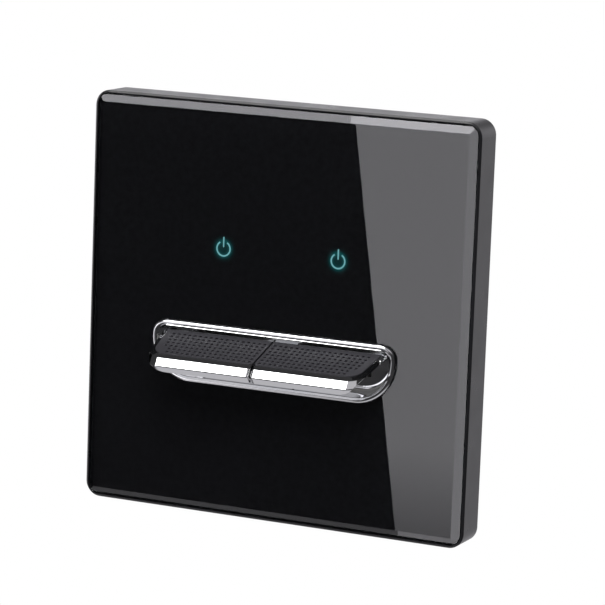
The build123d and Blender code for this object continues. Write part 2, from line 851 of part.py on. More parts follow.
# Terminal screws: slotted clamp screws turned from the back
with BuildPart() as terminal_screws:
    with BuildSketch(Plane.XZ.offset(-pillar_back)):
        with Locations(*pillar_spots):
            Circle(clamp_radius)
    extrude(amount=pillar_back - bore_depth - wire_bore_radius)
    with BuildSketch(Plane.XZ.offset(-pillar_back - clamp_head_height)):
        with Locations(*pillar_spots):
            Circle(clamp_head_radius)
    extrude(amount=clamp_head_height)
    with BuildSketch(Plane.XZ.offset(-pillar_back - clamp_head_height)):
        with Locations(*pillar_spots):
            Rectangle(2 * clamp_head_radius, clamp_slot_width)
    extrude(amount=clamp_slot_depth, mode=Mode.SUBTRACT)
save(terminal_screws.part, "terminal_screws")


plate_screw_spots = []
for x in (-plate_screw_x, plate_screw_x):
    plate_screw_spots.append((x, plate_screw_z))
    plate_screw_spots.append((x, -plate_screw_z))

# Mounting plate: rimmed plate with slotted fixing holes, claw windows and mechanism opening
plate_size = frame_inner - 2 * plate_gap
plate_rim_height = floor_back - plate_rim_gap
with BuildPart() as mounting_plate:
    with BuildSketch(Plane.XZ):
        RectangleRounded(plate_size, plate_size, panel_corner - frame_wall)
    extrude(amount=plate_rim_height)
    with BuildSketch(Plane.XZ.offset(plate_thickness)):
        Rectangle(plate_size - 2 * plate_rim_width, plate_size - 2 * plate_rim_width)
    extrude(amount=plate_rim_height, mode=Mode.SUBTRACT)
    with BuildSketch(Plane.XZ):
        RectangleRounded(
            housing_width + 2 * housing_gap, housing_height + 2 * housing_gap, housing_corner
        )
        with Locations((-fixing_spacing / 2, 0), (fixing_spacing / 2, 0)):
            SlotOverall(fixing_length, 2 * fixing_radius)
    extrude(amount=plate_thickness, mode=Mode.SUBTRACT)
    with Locations(Plane.XZ.offset(flange_front)):
        with Locations(*plate_screw_spots):
            CounterSinkHole(
                plate_screw_radius, plate_screw_head_radius + touch_gap, depth=flange_front
            )
    with BuildSketch(Plane.XZ.offset(plate_thickness - fixing_recess_depth)):
        with Locations((-fixing_spacing / 2, 0), (fixing_spacing / 2, 0)):
            SlotOverall(
                fixing_length + 2 * fixing_recess_margin, 2 * (fixing_radius + fixing_recess_margin)
            )
    extrude(amount=fixing_recess_depth, mode=Mode.SUBTRACT)
    with BuildSketch(Plane.XZ):
        for side in (-1, 1):
            with Locations((claw_x, side * claw_outer_z), (-claw_x, side * claw_outer_z)):
                Rectangle(claw_width + 2 * fit_gap, 2 * (claw_thickness + fit_gap))
    extrude(amount=plate_thickness, mode=Mode.SUBTRACT)
save(mounting_plate.part, "mounting_plate")


# Mechanism cover: flanged front with the key window, rod bearings and board posts
post_spots = []
for x in (-post_x, post_x):
    post_spots.append((x, post_low_z))
    post_spots.append((x, post_high_z))
boss_spots = [(0, boss_z), (0, -boss_z)]
with BuildPart() as mechanism_cover:
    with BuildSketch(Plane.XZ.offset(-cover_depth)):
        RectangleRounded(housing_width, housing_height, housing_corner)
    extrude(amount=plate_thickness + cover_depth)
    with BuildSketch(Plane.XZ.offset(plate_thickness)):
        RectangleRounded(flange_width, flange_height, housing_corner)
    extrude(amount=flange_thickness)
    with BuildSketch(Plane.XZ.offset(-cover_depth)):
        Rectangle(housing_width - 2 * housing_wall, housing_height - 2 * housing_wall)
    extrude(amount=plate_thickness + cover_depth, mode=Mode.SUBTRACT)
    with BuildSketch(Plane.XZ.offset(plate_thickness)):
        with Locations((0, (window_top_z + window_low_z) / 2)):
            Rectangle(2 * window_half_width, window_top_z - window_low_z)
        with Locations((sign_x, sign_z), (-sign_x, sign_z)):
            Circle(guide_radius + guide_gap)
    extrude(amount=flange_thickness, mode=Mode.SUBTRACT)
    with BuildSketch(Plane.XZ.offset(plate_thickness)):
        with Locations(*plate_screw_spots):
            Circle(plate_screw_radius + touch_gap)
    extrude(amount=flange_thickness, mode=Mode.SUBTRACT)
    with Locations(Plane.XZ.offset(flange_front)):
        with Locations(*plate_screw_spots):
            CounterSinkHole(
                plate_screw_radius + touch_gap,
                plate_screw_head_radius + touch_gap,
                depth=flange_thickness,
            )
    # Centre web and end lugs that carry the rod
    lug_depth = rod_radius + hub_radius
    with BuildSketch(Plane.YZ.offset(-web_thickness / 2)):
        with Locations(((cover_depth - flange_front) / 2, (window_top_z + window_low_z) / 2)):
            Rectangle(cover_depth + flange_front, window_top_z - window_low_z)
        with Locations(((lug_depth - plate_thickness) / 2, pivot_z)):
            Rectangle(lug_depth + plate_thickness, 2 * lug_half_height)
    extrude(amount=web_thickness)
    for x in (bay_outer_x - lug_thickness, -bay_outer_x):
        with BuildSketch(Plane.YZ.offset(x)):
            with Locations(((lug_depth - plate_thickness) / 2, pivot_z)):
                Rectangle(lug_depth + plate_thickness, 2 * lug_half_height)
        extrude(amount=lug_thickness)
    with BuildSketch(Plane.YZ):
        with Locations((0, pivot_z)):
            Circle(rod_radius)
    extrude(amount=bay_outer_x, both=True, mode=Mode.SUBTRACT)
    with BuildSketch(Plane.XZ.offset(-board_depth)):
        with Locations(*post_spots):
            Circle(post_radius)
    extrude(amount=board_depth + plate_thickness)
    with BuildSketch(Plane.XZ.offset(-board_depth - pin_length)):
        with Locations(*post_spots):
            Circle(pin_radius)
    extrude(amount=pin_length)
    with BuildSketch(Plane.XZ.offset(-cover_depth)):
        with Locations(*boss_spots):
            Circle(boss_radius)
    extrude(amount=cover_depth + plate_thickness)
    with BuildSketch(Plane.XZ.offset(-cover_depth)):
        with Locations(*boss_spots):
            Circle(boss_screw_radius)
    extrude(amount=boss_screw_length - boss_screw_depth + cover_depth, mode=Mode.SUBTRACT)
save(mechanism_cover.part, "mechanism_cover")


# Plate screws: countersunk, flush with the cover's flange
with BuildPart() as plate_screws:
    with BuildSketch(Plane.XZ.offset(plate_screw_end)):
        with Locations(*plate_screw_spots):
            Circle(plate_screw_radius)
    extrude(amount=flange_front - plate_screw_end)
    with Locations(Plane.XZ.offset(flange_front - plate_screw_head_height / 2)):
        with Locations(*plate_screw_spots):
            Cone(
                plate_screw_head_radius - plate_screw_head_height + touch_gap,
                plate_screw_head_radius,
                plate_screw_head_height,
            )
save(plate_screws.part, "plate_screws")


# Mechanism base: rear housing with two bays, contact pedestals and wire entries
with BuildPart() as mechanism_base:
    with BuildSketch(Plane.XZ.offset(-housing_depth)):
        RectangleRounded(housing_width, housing_height, housing_corner)
    extrude(amount=housing_depth - cover_depth)
    with BuildSketch(Plane.XZ.offset(-bay_back_depth)):
        Rectangle(housing_width - 2 * housing_wall, housing_height - 2 * housing_wall)
    extrude(amount=bay_back_depth - cover_depth, mode=Mode.SUBTRACT)
    # Wall between the gangs, clear of the board and the cover's web, and a pedestal behind each seesaw
    wall_front = board_depth + board_thickness + fit_gap
    pedestal_top_z = pivot_z + contact_z + fixed_contact_radius
    pedestal_low_z = low_pillar_z + pillar_length / 2 + fit_gap
    with BuildSketch(Plane.XZ.offset(-bay_back_depth)):
        Rectangle(web_thickness, housing_height - 2 * housing_wall)
        for x in (-gang_x, gang_x):
            with Locations((x, (pedestal_top_z + pedestal_low_z) / 2)):
                Rectangle(rocker_width, pedestal_top_z - pedestal_low_z)
    extrude(amount=bay_back_depth - strip_back)
    with BuildSketch(Plane.XZ.offset(-strip_back)):
        Rectangle(web_thickness, housing_height - 2 * housing_wall)
    extrude(amount=strip_back - wall_front)
    with BuildSketch(Plane.XZ.offset(-bay_back_depth)):
        with Locations(*boss_spots):
            Circle(boss_radius)
    extrude(amount=bay_back_depth - cover_depth)
    with BuildSketch(Plane.XZ.offset(-housing_depth)):
        with Locations(*boss_spots):
            Circle(boss_screw_radius + touch_gap)
    extrude(amount=housing_depth - cover_depth, mode=Mode.SUBTRACT)
    with BuildSketch(Plane.XZ.offset(-housing_depth)):
        with Locations(*boss_spots):
            Circle(boss_head_radius)
    extrude(amount=housing_depth - boss_screw_depth, mode=Mode.SUBTRACT)
    # Holes for the clamp screws at the back
    with BuildSketch(Plane.XZ.offset(-housing_depth)):
        with Locations(*pillar_spots):
            Circle(clamp_head_radius + clamp_hole_gap)
    extrude(amount=housing_back_wall, mode=Mode.SUBTRACT)
    # Wire entries through the top and bottom walls
    for x, z in pillar_spots:
        up = 1 if z > 0 else -1
        with BuildSketch(Plane.XY.offset(up * bay_top_z)):
            with Locations((x, bore_depth)):
                Circle(wire_hole_radius)
        extrude(amount=up * housing_wall, mode=Mode.SUBTRACT)
save(mechanism_base.part, "mechanism_base")


# Base screws: deep-set screws from the back into the cover
with BuildPart() as base_screws:
    with BuildSketch(Plane.XZ.offset(-boss_screw_depth)):
        with Locations(*boss_spots):
            Circle(boss_screw_radius)
    extrude(amount=boss_screw_length)
    with BuildSketch(Plane.XZ.offset(-boss_screw_depth - boss_head_height)):
        with Locations(*boss_spots):
            Circle(boss_head_radius - touch_gap)
    extrude(amount=boss_head_height)
    with BuildSketch(Plane.XZ.offset(-boss_screw_depth - boss_head_height)):
        with Locations(*boss_spots):
            Rectangle(cross_length, cross_width)
            Rectangle(cross_width, cross_length)
    extrude(amount=cross_depth, mode=Mode.SUBTRACT)
save(base_screws.part, "base_screws")


# Diffuser film behind each lit sign
with BuildPart() as right_icon_diffuser:
    with BuildSketch(Plane.XZ.offset(glass_back - diffuser_thickness)):
        with Locations((sign_x, sign_z)):
            Circle(diffuser_radius)
    extrude(amount=diffuser_thickness)
save_pair(right_icon_diffuser.part, "icon_diffuser")

# Light guide: stepped clear rod from the lamp to the film
guide_front = glass_back - diffuser_thickness
guide_back = lamp_front + guide_to_lamp
with BuildPart() as right_light_guide:
    with BuildSketch(Plane.XZ.offset(floor_back)):
        with Locations((sign_x, sign_z)):
            Circle(guide_head_radius)
    extrude(amount=guide_front - floor_back)
    with BuildSketch(Plane.XZ.offset(guide_back)):
        with Locations((sign_x, sign_z)):
            Circle(guide_radius)
    extrude(amount=floor_back - guide_back)
save_pair(right_light_guide.part, "light_guide")

# Lamp board on the cover's posts
with BuildPart() as led_board:
    with BuildSketch(Plane.XZ.offset(-board_depth - board_thickness)):
        with Locations((0, (board_bottom_z + board_top_z) / 2)):
            Rectangle(2 * board_half_width, board_top_z - board_bottom_z)
        with Locations(*post_spots):
            Circle(pin_radius, mode=Mode.SUBTRACT)
    extrude(amount=board_thickness)
save(led_board.part, "led_board")

# Round lamp with a collar and a tapered end
with BuildPart() as right_led:
    with BuildSketch(Plane.XZ.offset(-board_depth)):
        with Locations((sign_x, sign_z)):
            Circle(lamp_radius)
    extrude(amount=board_depth + lamp_front)
    chamfer(right_led.faces().sort_by(Axis.Y)[0].edges(), lamp_chamfer)
    with BuildSketch(Plane.XZ.offset(-board_depth)):
        with Locations((sign_x, sign_z)):
            Circle(lamp_collar_radius)
    extrude(amount=lamp_collar_height)
save_pair(right_led.part, "led")

# Resistors lying on the front of the board, with bent-down leads
lead_reach = resistor_length / 2 + resistor_lead
with BuildPart() as resistors:
    for x in (-resistor_x, resistor_x):
        for z in (resistor_low_z, resistor_high_z):
            with BuildSketch(Plane.YZ.offset(x - resistor_length / 2)):
                with Locations((board_depth - resistor_radius, z)):
                    Circle(resistor_radius)
            extrude(amount=resistor_length)
            with BuildSketch(Plane.XY.offset(z - resistor_lead_width / 2)):
                with Locations((x, board_depth - (resistor_radius + resistor_lead_width / 2) / 2)):
                    Rectangle(2 * lead_reach, resistor_radius + resistor_lead_width / 2)
                with Locations((x, board_depth - (resistor_radius - resistor_lead_width / 2) / 2)):
                    Rectangle(
                        2 * (lead_reach - resistor_lead_width),
                        resistor_radius - resistor_lead_width / 2,
                        mode=Mode.SUBTRACT,
                    )
            extrude(amount=resistor_lead_width)
save(resistors.part, "resistors")
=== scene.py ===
import json
import math

import bmesh
import bpy
from mathutils import Matrix, Vector


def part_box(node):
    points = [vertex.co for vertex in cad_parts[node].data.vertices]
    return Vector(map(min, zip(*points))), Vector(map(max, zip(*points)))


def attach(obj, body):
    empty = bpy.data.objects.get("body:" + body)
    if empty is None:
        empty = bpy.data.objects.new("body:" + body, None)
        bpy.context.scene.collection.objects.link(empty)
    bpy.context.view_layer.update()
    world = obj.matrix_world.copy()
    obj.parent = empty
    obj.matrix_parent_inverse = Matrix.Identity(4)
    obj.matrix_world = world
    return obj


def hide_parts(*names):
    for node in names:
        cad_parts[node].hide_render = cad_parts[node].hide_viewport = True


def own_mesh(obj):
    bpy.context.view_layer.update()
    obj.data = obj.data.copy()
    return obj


# Looks of a two-gang lever switch with a bevelled glass panel. Lengths are in metres, in the
# frame's own axes: X to the right, Z up, the glass faces -Y and the wall is the plane Y = 0.

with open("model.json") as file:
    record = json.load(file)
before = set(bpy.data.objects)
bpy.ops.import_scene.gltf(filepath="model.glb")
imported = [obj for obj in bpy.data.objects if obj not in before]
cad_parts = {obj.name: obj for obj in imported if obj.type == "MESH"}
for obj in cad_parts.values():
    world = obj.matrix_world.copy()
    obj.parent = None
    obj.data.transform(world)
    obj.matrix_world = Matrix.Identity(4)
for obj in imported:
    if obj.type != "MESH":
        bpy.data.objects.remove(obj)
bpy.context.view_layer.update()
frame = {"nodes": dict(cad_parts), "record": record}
nodes = frame["nodes"]
FIXED = "switch_body"
MM = 0.001

# Camera
IMAGE_SIZE = 605
SENSOR_WIDTH = 36.0
FOCAL_PIXELS = 3149.965
CAMERA_AZIMUTH = 24.695
CAMERA_ELEVATION = 9.822
CAMERA_ROLL = 2.171
CAMERA_DISTANCE = 637.665 * MM
CAMERA_TARGET = Vector((5.745, -7.6, 3.373)) * MM
CAMERA_CLIP = (0.01, 20)

# Noises in the materials: the part of their range that is used, and their roughness
NOISE_LOW = 0.3
NOISE_HIGH = 0.7
NOISE_ROUGHNESS = 0.55

# Opaque materials: two colours, two roughnesses, the tone in cells per metre, then the grain in
# cells per metre and its depth in millimetres. Drawn metal has its grain stretched along an axis.
OPAQUE = {
    "black_plastic": ((0.010, 0.010, 0.011), (0.014, 0.014, 0.016), (0.26, 0.34), 40, 5200, 0.003),
    "chrome": ((0.86, 0.87, 0.88), (0.9, 0.9, 0.9), (0.03, 0.06), 80, 600, 0.0004),
    "pad": ((0.033, 0.032, 0.037), (0.041, 0.040, 0.046), (0.45, 0.56), 150, 9000, 0.006),
    "foam": ((0.03, 0.03, 0.03), (0.05, 0.05, 0.05), (0.85, 0.95), 60, 2600, 0.06),
    "film": ((0.75, 0.85, 0.85), (0.82, 0.9, 0.9), (0.4, 0.5), 60, 4000, 0.002),
    "plate_plastic": ((0.055, 0.055, 0.058), (0.075, 0.075, 0.078), (0.42, 0.55), 50, 3600, 0.008),
    "housing_plastic": ((0.60, 0.60, 0.58), (0.68, 0.68, 0.66), (0.38, 0.5), 45, 3400, 0.008),
    "nylon": ((0.72, 0.71, 0.68), (0.80, 0.79, 0.76), (0.4, 0.52), 90, 3000, 0.005),
    "steel": ((0.50, 0.50, 0.49), (0.62, 0.62, 0.60), (0.2, 0.36), 300, 2500, 0.003),
    "brass": ((0.62, 0.43, 0.16), (0.78, 0.58, 0.26), (0.2, 0.34), 220, 2200, 0.003),
    "silver": ((0.80, 0.79, 0.76), (0.9, 0.89, 0.86), (0.22, 0.34), 500, 3000, 0.002),
    "board": ((0.010, 0.09, 0.035), (0.02, 0.13, 0.05), (0.25, 0.4), 140, 1800, 0.004),
    "resistor": ((0.42, 0.31, 0.17), (0.52, 0.40, 0.24), (0.3, 0.42), 400, 2600, 0.004),
}
METALS = ("chrome", "steel", "brass", "silver")
GRAIN_STRETCH = {"steel": (1, 1, 6), "brass": (1, 1, 5)}
OPAQUE_IOR = 1.5
WEAR_FINER = 4

# Clear materials: tint, share of light let through, refraction, the haze in cells per metre with
# its detail, and two roughnesses
CLEAR = {
    "black_glass": ((0.93, 0.97, 0.96), 1.0, 1.52, 90, 4, (0.0, 0.003)),
    "clear_plastic": ((0.93, 0.97, 0.98), 0.92, 1.49, 500, 3, (0.02, 0.08)),
    "lamp": ((0.55, 0.9, 0.92), 0.92, 1.49, 500, 3, (0.05, 0.15)),
}

# Lit signs behind the glass: place, ring and upright bar, then the light and its glow
SIGN_X = 12.87 * MM
SIGN_Z = 12.45 * MM
SIGN_RING = 1.5 * MM
SIGN_STROKE = 0.3 * MM
SIGN_GAP = math.radians(32)
SIGN_BAR_LOW = 0.3 * MM
SIGN_BAR_HIGH = 2.45 * MM
SIGN_COLOUR = (0.16, 0.38, 0.41)
SIGN_BRIGHTER = 1.12
SIGN_UNLIT = (0.02, 0.06, 0.07, 1)
SIGN_TONE = 900
HALO_COLOUR = (0.0, 0.5, 0.52)
HALO_NEAR = 0.09
HALO_NEAR_END = 0.85 * MM
HALO_WIDE = 0.035
HALO_WIDE_START = 1.0 * MM
HALO_WIDE_END = 3.3 * MM

# Ink on the back of the glass, with the corner radii of the glass and of its cut-out
INK_COLOUR = (0.0137, 0.0137, 0.016)
INK_DARKER = 0.7
INK_TONE = 700
INK_ROUGHNESS = 0.7
INK_GAP = 0.006 * MM
INK_THICKNESS = 0.012 * MM
INK_MARGIN = 0.4 * MM
INK_INSET = 0.55 * MM
GLASS_CORNER = 2.0 * MM
BEZEL_TOP_CORNER = 3.3 * MM
BEZEL_LOW_CORNER = 8.9 * MM

# Straight steps along a sign's ring, a bar's round end and a rounded corner of the ink
RING_STEPS = 40
BAR_STEPS = 8
CORNER_STEPS = 12

# Room that reflections see. Each step runs between two values as a part of the direction goes
# from the third number to the fourth.
ROOM_RADIANCE = 0.035
WALL_RADIANCE = 0.94
WALL_BEHIND = (0.0, 1.0, 0.5, 0.75)
WALL_TOP = (1.0, 0.0, 0.26, 0.42)
WALL_FOOT = (0.66, 1.0, -0.12, 0.08)
GROUND_STEP = (0.46, 0.0, -0.86, -0.72)
STUDIO_TINT = (1.0, 0.985, 1.035, 1)

# Bright parts of the light tent: azimuths from -Y towards +X, elevations, radiance
PATCH_EDGE = 4.0
TENT_PATCHES = (
    ((-99, -43), (-22, 18), 1.2),
    ((-64, -24), (-24, -15), 1.3),
    ((-64, -28), (-43, -20), 1.3),
    ((-36, -26), (-43, -20), 0.65),
    ((-78, -50), (-63, -49), 1.3),
    ((-46, -10), (-5, 6), 1.1),
    ((-46, -10), (3, 34), 0.75),
    ((-18, 52), (28, 60), 0.45),
)

# Floor and soft lights
FLOOR_HEIGHT = -0.12
FLOOR_SIZE = 6.0
KEY_CENTRE = (-0.354, -0.614, 0.733)
KEY_SIZE = 0.56
KEY_RADIANCE = 5.3
FILL_CENTRE = (0.25, -0.8, 0.85)
FILL_SIZE = 0.7
FILL_RADIANCE = 7.5

# Band that the glass mirrors on its right: its corners on the glass in millimetres as (x, z), how
# it fades towards its foot, between two such spots, and how far away its card is
BAND_CORNERS = ((15.1, 49), (80, 49), (80, -49), (29.9, -49))
BAND_FADE = ((28, -41), (28, -23))
BAND_RADIANCE = (1.35, 2.75)
BAND_DISTANCE = 0.6

# Cards that the bevels of the glass mirror: name, the bevel's ends in millimetres, its normal,
# radiance, and whether only the glass mirrors the card
BEVEL_CARDS = (
    ("right_card", ((41.4, -8, 60), (41.4, -8, -60)), (1.2, -1.5, 0), 3.4, True),
    ("top_card", ((15.0, -8, 41.4), (60, -8, 41.4)), (0, -1.5, 1.2), 8.9, False),
    ("top_left_card", ((-60, -8, 41.4), (15.0, -8, 41.4)), (0, -1.5, 1.2), 5.2, False),
    ("bottom_card", ((29.0, -8, -41.4), (60, -8, -41.4)), (0, -1.5, -1.2), 1.6, True),
)
CARD_DISTANCE = 0.5
CARD_SPREAD = 0.02

# Least part of a mirrored ray along its mirror's normal, which keeps the cards within reach
GRAZING = 0.05

# Cards at both sides, which only the frame's walls mirror
SIDE_CARDS = (("side_card_left", -0.8), ("side_card_right", 0.8))
SIDE_CARD_REACH = 0.3
SIDE_CARD_RADIANCE = (0.6, 1.1)


# Camera at the photograph's angle
def make_camera():
    azimuth, elevation, roll = (
        math.radians(a) for a in (CAMERA_AZIMUTH, CAMERA_ELEVATION, CAMERA_ROLL)
    )
    back = Vector(
        (
            math.sin(azimuth) * math.cos(elevation),
            -math.cos(azimuth) * math.cos(elevation),
            math.sin(elevation),
        )
    )
    right = Vector((0, 0, 1)).cross(back).normalized()
    up = back.cross(right)
    rolled_right = math.cos(roll) * right + math.sin(roll) * up
    rolled_up = -math.sin(roll) * right + math.cos(roll) * up
    data = bpy.data.cameras.new("camera")
    data.sensor_width = SENSOR_WIDTH
    data.lens = FOCAL_PIXELS * SENSOR_WIDTH / IMAGE_SIZE
    data.clip_start, data.clip_end = CAMERA_CLIP
    camera = bpy.data.objects.new("camera", data)
    camera.matrix_world = Matrix.Translation(CAMERA_TARGET + back * CAMERA_DISTANCE) @ Matrix(
        (rolled_right, rolled_up, back)
    ).transposed().to_4x4()
    bpy.context.scene.collection.objects.link(camera)
    bpy.context.scene.camera = camera
    return camera


# Material helpers
def new_material(name):
    """(material, its node tree, its shader)."""
    mat = bpy.data.materials.new(name)
    mat.use_nodes = True
    tree = mat.node_tree
    shader = next(n for n in tree.nodes if n.type == "BSDF_PRINCIPLED")
    return mat, tree, shader


def coordinates(tree):
    node = tree.nodes.new("ShaderNodeTexCoord")
    return node.outputs["Object"]


def noise(tree, scale, detail=3.0, stretch=None):
    """Noise value in object space, scale in cells per metre, stretched along the axes if asked."""
    source = coordinates(tree)
    if stretch:
        mapping = tree.nodes.new("ShaderNodeMapping")
        mapping.inputs["Scale"].default_value = stretch
        tree.links.new(source, mapping.inputs["Vector"])
        source = mapping.outputs["Vector"]
    node = tree.nodes.new("ShaderNodeTexNoise")
    node.inputs["Scale"].default_value = scale
    node.inputs["Detail"].default_value = detail
    node.inputs["Roughness"].default_value = NOISE_ROUGHNESS
    tree.links.new(source, node.inputs["Vector"])
    return node.outputs["Fac"]


def combine(tree, operation, first, second):
    """Maths node on two values, each a socket or a number."""
    node = tree.nodes.new("ShaderNodeMath")
    node.operation = operation
    for socket, value in zip(node.inputs, (first, second)):
        if isinstance(value, float):
            socket.default_value = value
        else:
            tree.links.new(value, socket)
    return node.outputs["Value"]


def remap(tree, value, low, high, start=NOISE_LOW, end=NOISE_HIGH, smooth=False):
    """Goes from low to high as value goes from start to end."""
    node = tree.nodes.new("ShaderNodeMapRange")
    if smooth:
        node.interpolation_type = "SMOOTHERSTEP"
    node.inputs["From Min"].default_value = start
    node.inputs["From Max"].default_value = end
    node.inputs["To Min"].default_value = low
    node.inputs["To Max"].default_value = high
    tree.links.new(value, node.inputs["Value"])
    return node.outputs["Result"]


def ramp(tree, value, low, high):
    """Goes from one colour to the other as a noise goes through its range."""
    node = tree.nodes.new("ShaderNodeValToRGB")
    node.color_ramp.elements[0].position = NOISE_LOW
    node.color_ramp.elements[0].color = (*low, 1)
    node.color_ramp.elements[1].position = NOISE_HIGH
    node.color_ramp.elements[1].color = (*high, 1)
    tree.links.new(value, node.inputs["Fac"])
    return node.outputs["Color"]


def opaque_material(name, low, high, rough, tone_scale, grain_scale, grain_depth):
    """Material with slow colour and gloss variation and a fine grain in its bump."""
    mat, tree, shader = new_material(name)
    shader.inputs["Metallic"].default_value = float(name in METALS)
    shader.inputs["IOR"].default_value = OPAQUE_IOR
    tone = noise(tree, tone_scale)
    tree.links.new(ramp(tree, tone, low, high), shader.inputs["Base Color"])
    wear = noise(tree, tone_scale * WEAR_FINER, detail=5)
    tree.links.new(remap(tree, wear, *rough), shader.inputs["Roughness"])
    grain = noise(tree, grain_scale, detail=2, stretch=GRAIN_STRETCH.get(name))
    bump = tree.nodes.new("ShaderNodeBump")
    bump.inputs["Strength"].default_value = 1.0
    bump.inputs["Distance"].default_value = grain_depth * MM
    tree.links.new(grain, bump.inputs["Height"])
    tree.links.new(bump.outputs["Normal"], shader.inputs["Normal"])
    return mat


def clear_material(name, tint, share, ior, haze_scale, haze_detail, rough):
    """Clear material with a slight haze that varies over it."""
    mat, tree, shader = new_material(name)
    shader.inputs["Base Color"].default_value = (*tint, 1)
    shader.inputs["Transmission Weight"].default_value = share
    shader.inputs["IOR"].default_value = ior
    haze = noise(tree, haze_scale, detail=haze_detail)
    tree.links.new(remap(tree, haze, *rough), shader.inputs["Roughness"])
    return mat


def ink_material():
    """Black print behind the glass, with a glow that fades away from each lit sign."""
    mat, tree, shader = new_material("black_ink")
    shader.inputs["Roughness"].default_value = INK_ROUGHNESS
    shader.inputs["Specular IOR Level"].default_value = 0.0
    tone = noise(tree, INK_TONE, detail=2)
    dark = tuple(c * INK_DARKER for c in INK_COLOUR)
    tree.links.new(ramp(tree, tone, dark, INK_COLOUR), shader.inputs["Base Color"])
    split = tree.nodes.new("ShaderNodeSeparateXYZ")
    tree.links.new(coordinates(tree), split.inputs["Vector"])
    join = tree.nodes.new("ShaderNodeCombineXYZ")
    tree.links.new(combine(tree, "ABSOLUTE", split.outputs["X"], 0.0), join.inputs["X"])
    tree.links.new(split.outputs["Z"], join.inputs["Z"])
    away = tree.nodes.new("ShaderNodeVectorMath")
    away.operation = "DISTANCE"
    away.inputs[1].default_value = (SIGN_X, 0, SIGN_Z)
    tree.links.new(join.outputs["Vector"], away.inputs[0])
    past_ring = combine(tree, "SUBTRACT", away.outputs["Value"], SIGN_RING)
    off_ring = combine(tree, "ABSOLUTE", past_ring, 0.0)
    near = remap(tree, off_ring, HALO_NEAR, 0.0, 0.0, HALO_NEAR_END, smooth=True)
    wide = remap(
        tree, away.outputs["Value"], HALO_WIDE, 0.0, HALO_WIDE_START, HALO_WIDE_END, smooth=True
    )
    shader.inputs["Emission Color"].default_value = (*HALO_COLOUR, 1)
    tree.links.new(combine(tree, "ADD", near, wide), shader.inputs["Emission Strength"])
    return mat


def sign_material():
    """Light that shines through the clear strokes of a sign, a little uneven along them."""
    mat, tree, shader = new_material("sign_light")
    shader.inputs["Base Color"].default_value = SIGN_UNLIT
    shader.inputs["Specular IOR Level"].default_value = 0.0
    tone = noise(tree, SIGN_TONE, detail=1)
    bright = tuple(c * SIGN_BRIGHTER for c in SIGN_COLOUR)
    tree.links.new(ramp(tree, tone, SIGN_COLOUR, bright), shader.inputs["Emission Color"])
    shader.inputs["Emission Strength"].default_value = 1.0
    return mat


# Mesh helpers
def new_piece(name, build, material, body):
    """Makes one mesh piece with build(bm), dresses it and lets it ride on a body."""
    bm = bmesh.new()
    build(bm)
    bmesh.ops.recalc_face_normals(bm, faces=bm.faces)
    mesh = bpy.data.meshes.new(name)
    bm.to_mesh(mesh)
    bm.free()
    piece = bpy.data.objects.new(name, mesh)
    bpy.context.scene.collection.objects.link(piece)
    mesh.materials.append(material)
    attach(piece, body)
    return piece


def prism(bm, outline, front, back):
    """Closed prism over an outline of (x, z) points, from Y = front to Y = back."""
    front_ring = [bm.verts.new((x, front, z)) for x, z in outline]
    back_ring = [bm.verts.new((x, back, z)) for x, z in outline]
    count = len(outline)
    for i in range(count):
        j = (i + 1) % count
        bm.faces.new((front_ring[i], front_ring[j], back_ring[j], back_ring[i]))
    bm.faces.new(front_ring)
    bm.faces.new(back_ring)


def power_ring(bm, x, z, front, back):
    """Ring with a gap at its top and flat ends, as a strip of quads."""
    outer, inner = SIGN_RING + SIGN_STROKE / 2, SIGN_RING - SIGN_STROKE / 2
    points = []
    for i in range(RING_STEPS + 1):
        angle = math.pi / 2 + SIGN_GAP + (2 * math.pi - 2 * SIGN_GAP) * i / RING_STEPS
        points.append((math.cos(angle), math.sin(angle)))
    rows = []
    for c, s in points:
        rows.append(
            [
                bm.verts.new((x + r * c, y, z + r * s))
                for r, y in ((outer, front), (inner, front), (inner, back), (outer, back))
            ]
        )
    for a, b in zip(rows, rows[1:]):
        for k in range(4):
            m = (k + 1) % 4
            bm.faces.new((a[k], a[m], b[m], b[k]))
    bm.faces.new(rows[0])
    bm.faces.new(rows[-1])


def bar_outline(x, low, high):
    """Upright bar with round ends."""
    radius = SIGN_STROKE / 2
    outline = []
    for i in range(BAR_STEPS + 1):
        angle = math.pi * i / BAR_STEPS
        outline.append((x + radius * math.cos(angle), high - radius + radius * math.sin(angle)))
    for i in range(BAR_STEPS + 1):
        angle = math.pi + math.pi * i / BAR_STEPS
        outline.append((x + radius * math.cos(angle), low + radius + radius * math.sin(angle)))
    return outline


def rounded_outline(low_x, high_x, low_z, high_z, low_radius, high_radius):
    """(x, z) points round a rectangle whose lower and upper corners have their own radii."""
    corners = (
        (high_x, high_z, high_radius, 0),
        (low_x, high_z, high_radius, 1),
        (low_x, low_z, low_radius, 2),
        (high_x, low_z, low_radius, 3),
    )
    outline = []
    for x, z, radius, quarter in corners:
        centre_x = x - radius if x == high_x else x + radius
        centre_z = z - radius if z == high_z else z + radius
        for i in range(CORNER_STEPS + 1):
            angle = math.pi / 2 * (quarter + i / CORNER_STEPS)
            outline.append(
                (centre_x + radius * math.cos(angle), centre_z + radius * math.sin(angle))
            )
    return outline


def sheet_ring(bm, outer, inner, front, back):
    """Thin closed ring between two outlines with as many points each."""
    loops = [
        [bm.verts.new((x, y, z)) for x, z in outline]
        for outline, y in ((outer, front), (inner, front), (inner, back), (outer, back))
    ]
    count = len(outer)
    for a, b in zip(loops, loops[1:] + loops[:1]):
        for i in range(count):
            j = (i + 1) % count
            bm.faces.new((a[i], a[j], b[j], b[i]))


